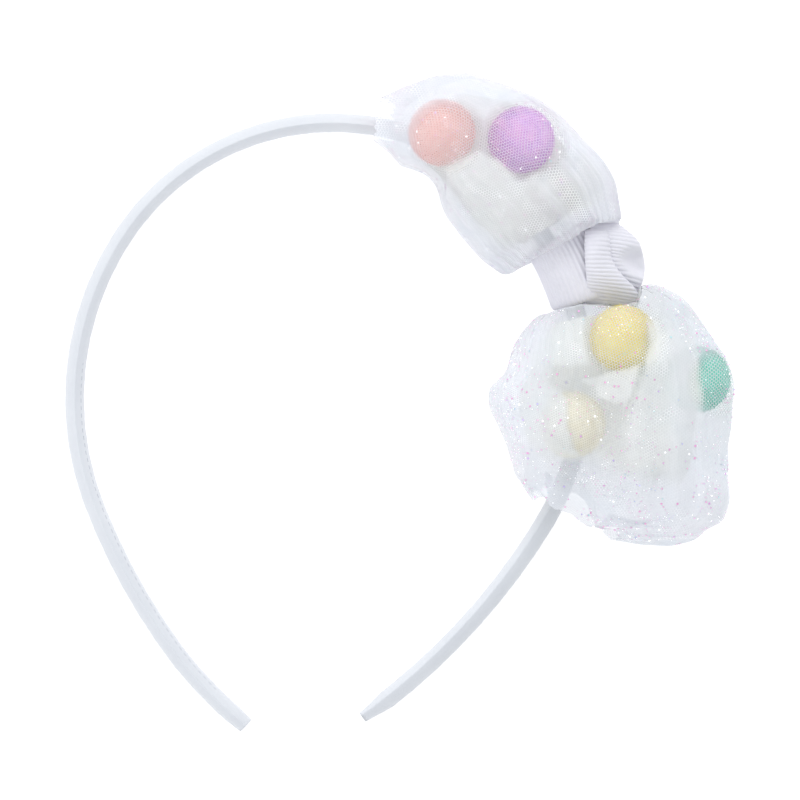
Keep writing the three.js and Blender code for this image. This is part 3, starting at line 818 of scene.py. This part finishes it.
def pompom(name, dark, light, seed):
    """A ball of short pile: a lumpy core and thousands of short fibres standing on it."""
    (centre,) = ball_places([name])
    bpy.ops.mesh.primitive_ico_sphere_add(subdivisions=5, radius=1)
    template = bpy.context.object
    core = np.array([v.co for v in template.data.vertices])
    faces = [tuple(p.vertices) for p in template.data.polygons]
    bpy.data.objects.remove(template)
    lumps = np.array([noise.fractal(Vector(p) * 3 + Vector((seed, 0, 0)), 1.0, 2.0, 4) for p in core])
    points = core * (POMPOM_RADIUS - 0.45 + 0.18 * lumps)[:, None]
    rng = np.random.default_rng(int(seed * 10))
    count = 7000
    direction = rng.normal(size=(count, 3))
    direction /= np.linalg.norm(direction, axis=1)[:, None]
    lean = rng.normal(size=(count, 3)) * 0.35
    side = np.cross(direction, rng.normal(size=(count, 3)))
    side /= np.linalg.norm(side, axis=1)[:, None]
    root = direction * (POMPOM_RADIUS - 0.6)
    length = rng.uniform(0.45, 0.75, count)[:, None]
    tip = root + (direction + lean * 0.6) * length
    fibres = np.stack([root - side * 0.07, root + side * 0.07, tip], axis=1).reshape(-1, 3)
    start = len(points)
    faces += [(start + 3 * i, start + 3 * i + 1, start + 3 * i + 2) for i in range(count)]
    piece = mesh_object(
        name.replace("pompom", "felt_pompom"),
        np.vstack([points, fibres]) + centre,
        faces,
        felt_material(name + "_felt", dark, light),
    )
    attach(piece, "root")
    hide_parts(name)
    return piece


POMPOM_COLOURS = {
    "pompom_peach": ((0.96, 0.46, 0.38), (0.98, 0.58, 0.50)),
    "pompom_lilac": ((0.68, 0.28, 0.84), (0.88, 0.40, 0.84)),
    "pompom_yellow": ((0.90, 0.74, 0.08), (0.92, 0.82, 0.20)),
    "pompom_cream": ((0.97, 0.87, 0.54), (0.98, 0.92, 0.68)),
    "pompom_mint": ((0.06, 0.62, 0.46), (0.18, 0.72, 0.58)),
}


# Ribbon

RIB_PITCH = 1.02
RIB_HEIGHT = 0.2


def outline_round(points, offset, count):
    """A closed outline round flat points at a distance, one corner between each two sides."""
    angle = 2 * math.pi * np.arange(count) / count
    facing = np.column_stack([np.cos(angle), np.sin(angle)])
    away = (points @ facing.T).max(axis=0) + offset
    following = np.roll(facing, -1, axis=0)
    next_away = np.roll(away, -1)
    cross = facing[:, 0] * following[:, 1] - facing[:, 1] * following[:, 0]
    x = (away * following[:, 1] - next_away * facing[:, 1]) / cross
    y = (next_away * facing[:, 0] - away * following[:, 0]) / cross
    return np.column_stack([x, y])


def waist_outline(count):
    angle = 2 * math.pi * np.arange(count) / count
    power = np.where(np.sin(angle) >= 0, 0.87, 0.6)
    middle = (NECK_REACH - NECK_INNER) / 2
    half = (NECK_REACH + NECK_INNER) / 2
    out = middle + half * np.sign(np.cos(angle)) * np.abs(np.cos(angle)) ** power
    waist = -NECK_HEIGHT / 2 + 0.36 * NECK_HEIGHT
    rise = np.where(np.sin(angle) >= 0, 0.64 * NECK_HEIGHT, 0.36 * NECK_HEIGHT * 1.12)
    up = waist + rise * np.sign(np.sin(angle)) * np.abs(np.sin(angle)) ** power
    return np.column_stack([out, np.maximum(up, -NECK_HEIGHT / 2)])


def ribbon_wrap(material):
    """The ribbon wound round the waist, its ribs across the ribbon."""
    outline = outline_round(waist_outline(240), 0.3, 240)
    closed = np.vstack([outline, outline[:1]])
    travelled = np.concatenate([[0], np.cumsum(np.linalg.norm(np.diff(closed, axis=0), axis=1))])
    ribs = round(travelled[-1] / RIB_PITCH)
    around = ribs * 8
    at = travelled[-1] * np.arange(around) / around
    base = np.column_stack([np.interp(at, travelled, closed[:, k]) for k in (0, 1)])
    tangent = np.roll(base, -1, axis=0) - np.roll(base, 1, axis=0)
    tangent /= np.linalg.norm(tangent, axis=1)[:, None]
    normal = np.column_stack([tangent[:, 1], -tangent[:, 0]])
    rib = 0.5 + 0.5 * np.cos(2 * math.pi * ribs * at / travelled[-1])
    rows = []
    stations = np.linspace(-0.5, 0.5, 41)
    for layer in ("outside", "inside"):
        for share in stations if layer == "outside" else stations[::-1]:
            rim = 1 - abs(2 * share) ** 14
            crease = 0.25 * math.sin(share * 9 + 1.0) * (0.5 + 0.5 * np.cos(3 * at / travelled[-1] * 6.28))
            thick = (0.75 + RIB_HEIGHT * rib) * rim + 0.1 + crease * 0.5 if layer == "outside" else 0 * rib
            flat = base + normal * np.asarray(thick)[:, None]
            ring = over_surface(KNOT_DISTANCE + share * RIBBON_WIDTH, flat[:, 0], 0)
            ring[:, 2] = np.maximum(WAIST_HEIGHT + flat[:, 1], 0.05)
            rows.append(ring)
    faces = grid_faces(len(rows), around, wrap_columns=True, wrap_rows=True)
    piece = mesh_object("grosgrain_wrap", np.vstack(rows), faces, material)
    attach(piece, "root")
    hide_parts("ribbon_wrap")
    return piece


def knot_place(right, down, height):
    """A place on the knot: across the strip and down it, from its upper left corner, in mm."""
    along = -6.2 + 0.396 * right + 0.918 * down
    out = 8.3 + 0.918 * right - 0.396 * down
    return over_surface(KNOT_DISTANCE + along, out, height)[0]


def ribbon_face(rows, thickness, samples, valley):
    """A ribbon from rows of its left edge, its right edge and how high its middle stands over them.

    The valley is how deep the hollow in it is.
    """
    table = np.array(rows, float)
    edges = (table[:, 0:3] + table[:, 3:6]) / 2
    travelled = np.append(0, np.cumsum(np.linalg.norm(np.diff(edges, axis=0), axis=1)))
    fine = smooth_rows(np.column_stack([travelled, table]), samples)
    columns = 40
    share = np.linspace(-1, 1, columns)
    centre = np.zeros((samples, columns, 3))
    caved = np.zeros((samples, columns))
    for i, row in enumerate(fine):
        for j, x in enumerate(share):
            right, down, height = row[1:4] * (1 - x) / 2 + row[4:7] * (1 + x) / 2
            aside = ((right - HOLLOW[0]) / HOLLOW[2]) ** 2 + ((down - HOLLOW[1]) / HOLLOW[3]) ** 2
            caved[i, j] = math.exp(-(aside**2))
            height += row[7] * (1 - x * x) - valley * caved[i, j]
            centre[i, j] = knot_place(right, down, height)
    along = np.gradient(centre, axis=0)
    across = np.gradient(centre, axis=1)
    normal = np.cross(across, along)
    normal /= np.linalg.norm(normal, axis=2)[..., None]
    normal *= np.sign(normal[samples // 2, columns // 2, 2])
    length = np.linalg.norm(along, axis=2)[:, columns // 2]
    turns = np.cumsum(length) / RIB_PITCH
    rim = (1 - np.abs(share) ** 12) ** 0.5
    rib = RIB_HEIGHT * np.abs(np.cos(math.pi * turns))[:, None] * rim
    if valley:
        rib = rib * (1 - np.clip(4 * caved, 0, 1))
    top = centre + normal * (thickness / 2 * rim + rib)[..., None]
    under = centre - normal * np.broadcast_to(thickness / 2 * rim, rib.shape)[..., None]
    rings = np.concatenate([top, under[:, ::-1]], axis=1)
    count = 2 * columns
    faces = grid_faces(samples, count, wrap_columns=True)
    faces.append(tuple(range(count)))
    faces.append(tuple((samples - 1) * count + i for i in reversed(range(count))))
    return rings.reshape(-1, 3), faces


# The hollow in the knot's curl: how far right and down it is, and half its width and height.
HOLLOW = (11.8, 5.4, 3.9, 2.3)

# The knot's ribbons. Each row has the left edge and the right edge as (right, down, height), and how
# high the middle stands over the line between them.
KNOT_STRIP = (
    (1.8, 2.2, 10.4, 4.6, 2.0, 9.4, 0.4),
    (0.8, 0.4, 12.6, 4.8, 0.2, 11.6, 0.8),
    (0.1, 0.6, 14.8, 5.0, 0.5, 13.2, 1.2),
    (-0.3, 2.3, 16.0, 5.1, 2.3, 14.0, 1.6),
    (-0.5, 4.6, 16.3, 5.1, 4.6, 14.0, 1.9),
    (-0.5, 6.8, 16.1, 5.9, 6.8, 13.8, 2.0),
    (-0.4, 8.8, 15.7, 8.0, 8.9, 13.2, 2.0),
    (-0.3, 10.8, 14.9, 11.0, 10.7, 11.6, 1.9),
    (-0.2, 12.8, 13.7, 12.2, 12.2, 10.0, 1.5),
    (0.0, 14.6, 12.1, 12.0, 13.3, 8.8, 1.0),
    (0.4, 15.2, 10.2, 11.4, 13.9, 7.8, 0.6),
)
KNOT_CURL = (
    (1.4, 1.4, 8.6, 7.4, 1.0, 7.4, 0.6),
    (1.0, -0.9, 11.2, 7.8, -1.0, 9.2, 1.0),
    (1.2, -0.6, 13.0, 9.8, 0.2, 10.0, 1.4),
    (2.0, 1.2, 13.4, 11.8, 1.9, 10.0, 1.8),
    (3.0, 3.4, 13.2, 12.8, 4.0, 9.6, 2.0),
    (3.4, 5.4, 13.0, 13.1, 6.0, 9.2, 2.0),
    (4.0, 7.4, 12.6, 12.7, 8.0, 8.8, 1.8),
    (5.0, 9.6, 11.6, 11.9, 10.0, 8.2, 1.4),
    (6.0, 11.6, 10.4, 11.2, 11.8, 7.6, 0.8),
)
KNOT_TUCK = (
    (0.8, 0.6, 11.4, 4.6, 0.6, 3.6, 0.0),
    (4.6, 1.0, 9.0, 7.6, 0.6, 3.0, 0.0),
    (8.0, 3.0, 5.6, 10.6, 3.0, 2.6, 0.0),
    (9.4, 7.0, 5.0, 12.0, 7.0, 2.4, 0.0),
    (9.4, 11.0, 6.0, 11.6, 11.0, 2.6, 0.0),
    (7.4, 14.0, 7.0, 9.6, 14.0, 3.0, 0.0),
)


def ribbon_knot(material):
    """The tied knot: a strip over the front, a curl beside it and the ribbon packed under them."""
    points = []
    faces = []
    strips = ((KNOT_STRIP, 1.0, 0.0), (KNOT_CURL, 0.9, 3.4), (KNOT_TUCK, 1.6, 0.0))
    for rows, thickness, valley in strips:
        placed, made = ribbon_face(rows, thickness, 200, valley)
        faces += [tuple(len(points) + i for i in face) for face in made]
        points += placed.tolist()
    piece = mesh_object("grosgrain_knot", points, faces, material)
    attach(piece, "root")
    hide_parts("ribbon_knot")
    return piece


# Glitter


def glitter(tulle, name, count, size, seed):
    """Six-sided flecks stuck to the tulle's outside, each with a tone of its own."""
    mesh = tulle.data
    rng = np.random.default_rng(seed)
    centres = np.array([p.center for p in mesh.polygons]) / MM
    normals = np.array([p.normal for p in mesh.polygons])
    areas = np.array([p.area for p in mesh.polygons])
    opened = np.arange(len(centres)) > 0.11 * len(centres)
    clusters = np.array([noise.noise(Vector(c) / 9 + Vector((seed, 0, 0))) for c in centres[::20]])
    clusters = np.clip(0.25 + 2.2 * np.repeat(clusters, 20)[: len(centres)], 0.06, 1)
    margin = np.where(np.abs(normals[:, 2]) < 0.8, 1.0, 0.45)
    weight = areas * opened * (centres[:, 2] > 1.0) * clusters * margin
    chosen = rng.choice(len(centres), size=count, p=weight / weight.sum())
    points = []
    faces = []
    tones = []
    for number, index in enumerate(chosen):
        normal = normals[index] + rng.normal(size=3) * 0.25
        normal /= np.linalg.norm(normal)
        across = np.cross(normal, rng.normal(size=3))
        across /= np.linalg.norm(across)
        other = np.cross(normal, across)
        radius = rng.uniform(*size) / 2
        centre = centres[index] + normals[index] * 0.12
        for k in range(6):
            turn = math.pi * k / 3
            points.append(centre + radius * (math.cos(turn) * across + math.sin(turn) * other))
        faces.append(tuple(range(6 * number, 6 * number + 6)))
        tones.append(rng.uniform())
    piece = mesh_object(name, points, faces, bpy.data.materials["glitter"], smooth=False)
    layer = piece.data.attributes.new("tone", "FLOAT", "FACE")
    layer.data.foreach_set("value", tones)
    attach(piece, "root")
    return piece


# Stage

PHOTO_TURN = math.radians(4.62)
PHOTO_WIDTH_MM = 800 / 4.4
PHOTO_CENTRE = (15.8, -4.6)
LENS = 180.0
SENSOR = 36.0


def stage():
    scene = bpy.context.scene
    camera = bpy.data.objects.new("camera", bpy.data.cameras.new("camera"))
    camera.data.lens = LENS
    camera.data.sensor_width = SENSOR
    camera.data.clip_start = 0.01
    camera.data.clip_end = 20
    away = PHOTO_WIDTH_MM * LENS / SENSOR
    x, y = np.array(PHOTO_CENTRE) + ORIGIN
    camera.location = (x * MM, y * MM, (WAIST_HEIGHT + away) * MM)
    camera.rotation_euler = (0, 0, PHOTO_TURN)
    scene.collection.objects.link(camera)
    scene.camera = camera

    paper = Shader("paper", Roughness=0.9, Emission_Strength=0.75)
    place = paper.node("TexCoord").outputs["Object"]
    cloud = paper.node("TexNoise", None, Vector=place, Scale=3.0).outputs["Fac"]
    paper.set("Base Color", paper.ramp(cloud, ((0.3, (0.42, 0.42, 0.43)), (0.7, (0.43, 0.43, 0.43)))))
    paper.principled.inputs["Emission Color"].default_value = (1, 1, 1, 1)
    size = 3000
    corners = [(-size, -size, 0), (size, -size, 0), (size, size, 0), (-size, size, 0)]
    floor = mesh_object("floor", corners, [(0, 1, 2, 3)], paper.material, smooth=False)

    world = bpy.data.worlds.new("world")
    scene.world = world
    world.use_nodes = True
    world.node_tree.nodes["Background"].inputs["Color"].default_value = (0.93, 0.96, 1.0, 1)
    world.node_tree.nodes["Background"].inputs["Strength"].default_value = 0.70

    def softbox(name, place, target, power, width):
        light = bpy.data.lights.new(name, "AREA")
        light.energy = power
        light.size = width
        lamp = bpy.data.objects.new(name, light)
        lamp.location = place
        lamp.rotation_euler = (Vector(target) - Vector(place)).to_track_quat("-Z", "Y").to_euler()
        scene.collection.objects.link(lamp)

    softbox("key", (0.0, 0.75, 0.65), (0, 0, 0), 4.0, 0.7)
    softbox("fill", (-0.6, -0.5, 0.7), (0, 0, 0), 2.5, 0.8)
    scene.cycles.transparent_max_bounces = 32
    scene.view_settings.view_transform = "Standard"
    scene.view_settings.look = "None"


stage()
band = headband()
ribbon = grosgrain_material()
ribbon_wrap(ribbon)
ribbon_knot(ribbon)
for number, (ball, colours) in enumerate(POMPOM_COLOURS.items()):
    pompom(ball, *colours, 2.0 + number)
outer_sheets = outer_tulle()
inner_sheets = inner_tulle(outer_sheets)
glitter_material()
for side, sheet in outer_sheets.items():
    seed = 5 if side == "lower" else 20
    glitter(sheet, f"glitter_flecks_{side}", 520, (0.26, 0.6), seed)
    glitter(sheet, f"glitter_dust_{side}", 3200, (0.14, 0.28), seed + 1)
